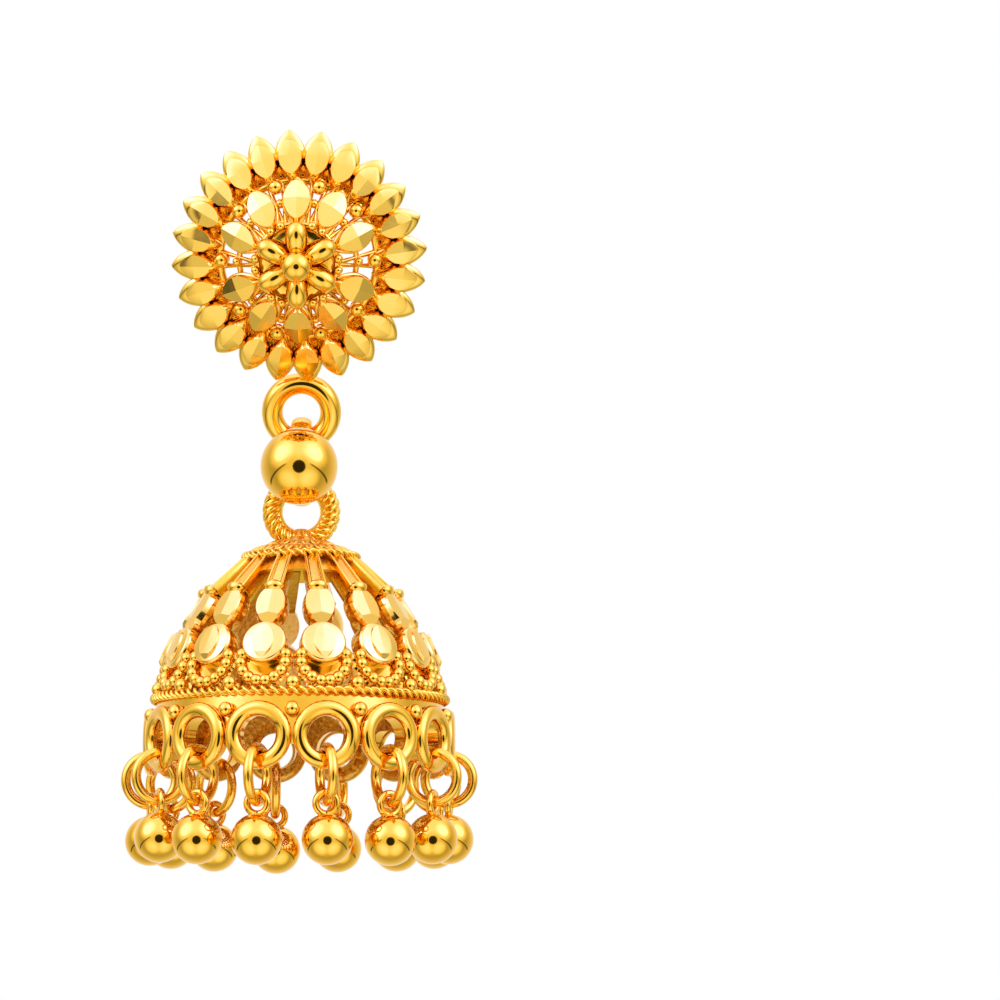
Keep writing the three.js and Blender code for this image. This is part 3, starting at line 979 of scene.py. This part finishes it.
# %% Tent
class Tent(Finish):
    """The world's background, written with the same expressions as a finish."""

    def __init__(self, world):
        self.tree = world.node_tree
        self.shader = self.tree.nodes["Background"]

    def lamp(self, way, toward, inner, outer, strength):
        """A soft round box in one direction; inner and outer are its angles in degrees."""
        aligned = self.vector("DOT_PRODUCT", way, Vector(toward).normalized(), output=1)
        low, high = (math.cos(math.radians(angle)) for angle in (outer, inner))
        return self.smooth_step(aligned, low, high) * strength


world = bpy.data.worlds.new("tent")
world.use_nodes = True
bpy.context.scene.world = world
tent = Tent(world)
way = tent.node("ShaderNodeTexCoord")
base_light, lens_dark, seam_dark = 0.52, 0.97, 0.85
glow = tent.lamp(way, (0, -0.25, 1), 10, 70, 0.9) + tent.lamp(way, (0, -1, -0.35), 10, 80, 0.50)
glow = glow + tent.lamp(way, (0, 1, 0.1), 20, 100, 0.45)
seams = 0
for side in (-1, 1):
    high_box = (side * 0.76, -0.42, 0.50)
    glow = glow + tent.lamp(way, high_box, 4, 44, 0.8)
    glow = glow + tent.lamp(way, high_box, 2, 26, 1.1)
    glow = glow + tent.lamp(way, (side * 0.5, -0.5, -0.7), 4, 36, 0.5)
    level = tent.vector("DOT_PRODUCT", way, (side * 0.323, 0.262, 0.909), output=1)
    line = 1 - tent.smooth_step(level * level, 0.0002, 0.003)
    seams = line * tent.lamp(way, (side, -0.2, -0.2), 35, 50, 1.0) + seams
lens = tent.lamp(way, (0.05, -1, -0.13), 18, 21, 1.0)
brightness = (base_light + glow) * (1 - lens * lens_dark) * (1 - seams * seam_dark)
path = tent.node("ShaderNodeLightPath")
seen = tent.node("ShaderNodeMix", {"data_type": "FLOAT"}, Factor=path, A=brightness, B=1.0)
cool = tent.smooth_step(brightness, 0.9, 2.0) * (1 - path)
tent.set("Color", tent.blend_colours(cool, (1, 1, 1), (1, 1, 3.4)))
tent.set("Strength", seen)
print("tent:", len(tent.tree.nodes), "nodes")

# %% Floor
bpy.ops.mesh.primitive_plane_add(size=4, location=(0, 0, -0.075))
floor = started("floor")
paper = Finish("floor_paper")
paper_place = paper.node("ShaderNodeTexCoord", output=3)
grain = paper.node("ShaderNodeTexNoise", Vector=paper_place, Scale=900.0)
paper.set("Base Color", (0.95, 0.94, 0.87, 1))
paper.set("Roughness", 0.7 + grain * 0.1)
floor.data.materials.append(paper.material)
floor.visible_glossy = False

# %% [markdown]
# The camera stands low and between the pair of earrings, a little to the right of this one, and
# looks straight along +Y with a slight upward tilt. Its distance gives the bell its open rim and
# the cap its visible underside.

# %% Camera
distance, aside, height, tilt = 0.262, 0.0135, -0.0475, 6.86
camera_data = bpy.data.cameras.new("camera")
camera_data.lens = 139.68
camera_data.sensor_width = 36
camera = bpy.data.objects.new("camera", camera_data)
bpy.context.scene.collection.objects.link(camera)
camera.location = (aside, hinges["link_swing"].y - distance, height)
camera.rotation_euler = (math.radians(90 + tilt), 0, 0)
bpy.context.scene.camera = camera
bpy.context.scene.view_settings.view_transform = "Standard"
